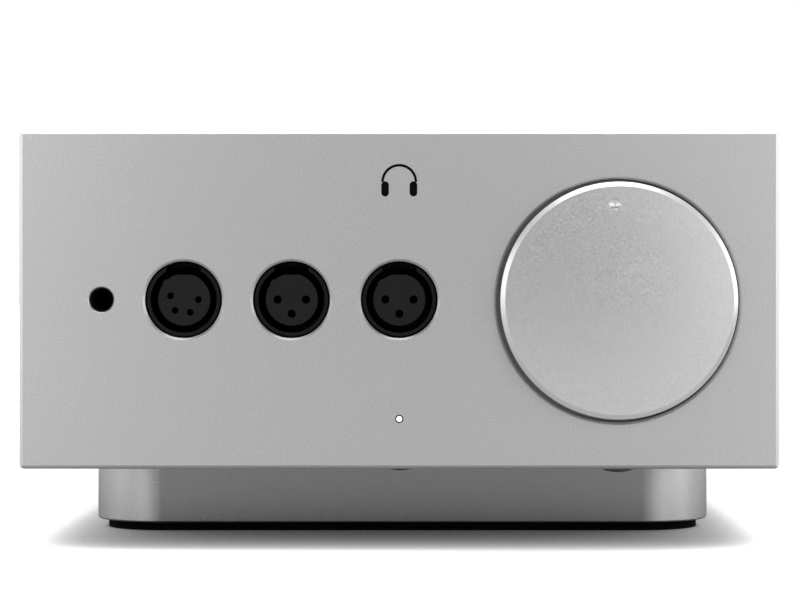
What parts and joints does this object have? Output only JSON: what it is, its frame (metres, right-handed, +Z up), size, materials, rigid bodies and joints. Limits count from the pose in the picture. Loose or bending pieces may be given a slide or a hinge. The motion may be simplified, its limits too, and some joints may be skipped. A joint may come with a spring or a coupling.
{
  "type": "headphone amplifier",
  "caption": "Desktop headphone amplifier: a metal box on a set-back plinth, with headphone sockets and a large volume knob in front and buttons hidden under the front edge.",
  "frame": {"origin": "on the standing surface, under the middle of the whole amplifier", "axes": "the front panel faces -Y, +X is to its right seen from the front, +Z is up"},
  "size_m": [0.22, 0.356, 0.1215],
  "materials": {
    "panel_aluminium": "satin",
    "knob_aluminium": "satin",
    "casing_aluminium": "satin",
    "plinth_aluminium": "satin",
    "button_aluminium": "satin",
    "inner_sheet": "satin",
    "black_rubber": "matte",
    "socket_shell": "satin",
    "socket_insert": "matte",
    "gold_contact": "polished",
    "socket_contact": "matte",
    "gold_shell": "polished",
    "plated_steel": "satin",
    "shaft_steel": "satin",
    "screw_steel": "satin",
    "spring_steel": "polished",
    "standoff_brass": "satin",
    "moulded_black": "matte",
    "pot_case": "matte",
    "insulator_white": "gloss",
    "light_pipe": "gloss",
    "circuit_board": "gloss",
    "winding_copper": "satin",
    "capacitor_sleeve": "gloss",
    "relay_case": "gloss",
    "fuse_glass": "gloss"
  },
  "bodies": {
    "root": {"front_panel": "panel_aluminium", "front_bulkhead": "inner_sheet", "top_cover": "casing_aluminium", "bottom_plate": "inner_sheet", "rear_panel": "casing_aluminium", "plinth": "plinth_aluminium", "foot_pad": "black_rubber", "pot_body": "pot_case", "pot_nut": "plated_steel", "xlr4_shell": "socket_shell", "xlr4_insert": "socket_insert", "xlr4_contacts": "socket_contact", "xlr_left_shell": "socket_shell", "xlr_left_insert": "socket_insert", "xlr_left_contacts": "socket_contact", "xlr_right_shell": "socket_shell", "xlr_right_insert": "socket_insert", "xlr_right_contacts": "socket_contact", "jack_sleeve": "socket_insert", "jack_housing": "moulded_black", "jack_contacts": "gold_contact", "socket_board": "circuit_board", "led_lens": "light_pipe", "status_led": "light_pipe", "power_button_spring": "spring_steel", "mode_button_spring": "spring_steel", "button_switches": "moulded_black", "button_board": "circuit_board", "main_board": "circuit_board", "board_standoffs": "standoff_brass", "heatsinks": "inner_sheet", "output_transistors": "moulded_black", "filter_capacitors": "capacitor_sleeve", "relays": "relay_case", "transformer": "winding_copper", "transformer_mat": "black_rubber", "transformer_clamp": "screw_steel", "transformer_bolt": "screw_steel", "input_xlr_shells": "plated_steel", "input_xlr_inserts": "socket_insert", "input_xlr_contacts": "socket_contact", "rca_shells": "gold_shell", "rca_insulators": "insulator_white", "rca_contacts": "gold_contact", "inlet_housing": "moulded_black", "inlet_blades": "plated_steel", "panel_screws": "screw_steel", "base_screws": "screw_steel", "cover_screws": "screw_steel", "plinth_screws": "screw_steel", "socket_screws": "screw_steel", "board_screws": "screw_steel"},
    "volume": {"volume_knob": "knob_aluminium", "knob_grub_screw": "shaft_steel", "pot_shaft": "shaft_steel"},
    "power_button": {"power_button": "button_aluminium"},
    "mode_button": {"mode_button": "button_aluminium"},
    "mains_rocker": {"mains_rocker": "moulded_black"},
    "fuse_tray": {"fuse_drawer": "moulded_black", "fuse": "fuse_glass"}
  },
  "joints": [
    {"name": "volume_turn", "type": "hinge", "parent": "root", "child": "volume", "pos_m": [0.0632, -0.17, 0.0722], "axis": [0, 1, 0], "range_deg": [-147.2, 152.8]},
    {"name": "power_press", "type": "slide", "parent": "root", "child": "power_button", "axis": [0, 0, 1], "range_m": [0, 0.0013], "stiffness_N_per_m": 300, "springref_m": -0.003, "deforming": ["power_button_spring"]},
    {"name": "mode_press", "type": "slide", "parent": "root", "child": "mode_button", "axis": [0, 0, 1], "range_m": [0, 0.0013], "stiffness_N_per_m": 300, "springref_m": -0.003, "deforming": ["mode_button_spring"]},
    {"name": "mains_switch", "type": "hinge", "parent": "root", "child": "mains_rocker", "pos_m": [0.07, 0.162, 0.09], "axis": [1, 0, 0], "range_deg": [0, 20]},
    {"name": "fuse_slide", "type": "slide", "parent": "root", "child": "fuse_tray", "axis": [0, 1, 0], "range_m": [0, 0.014]}
  ]
}
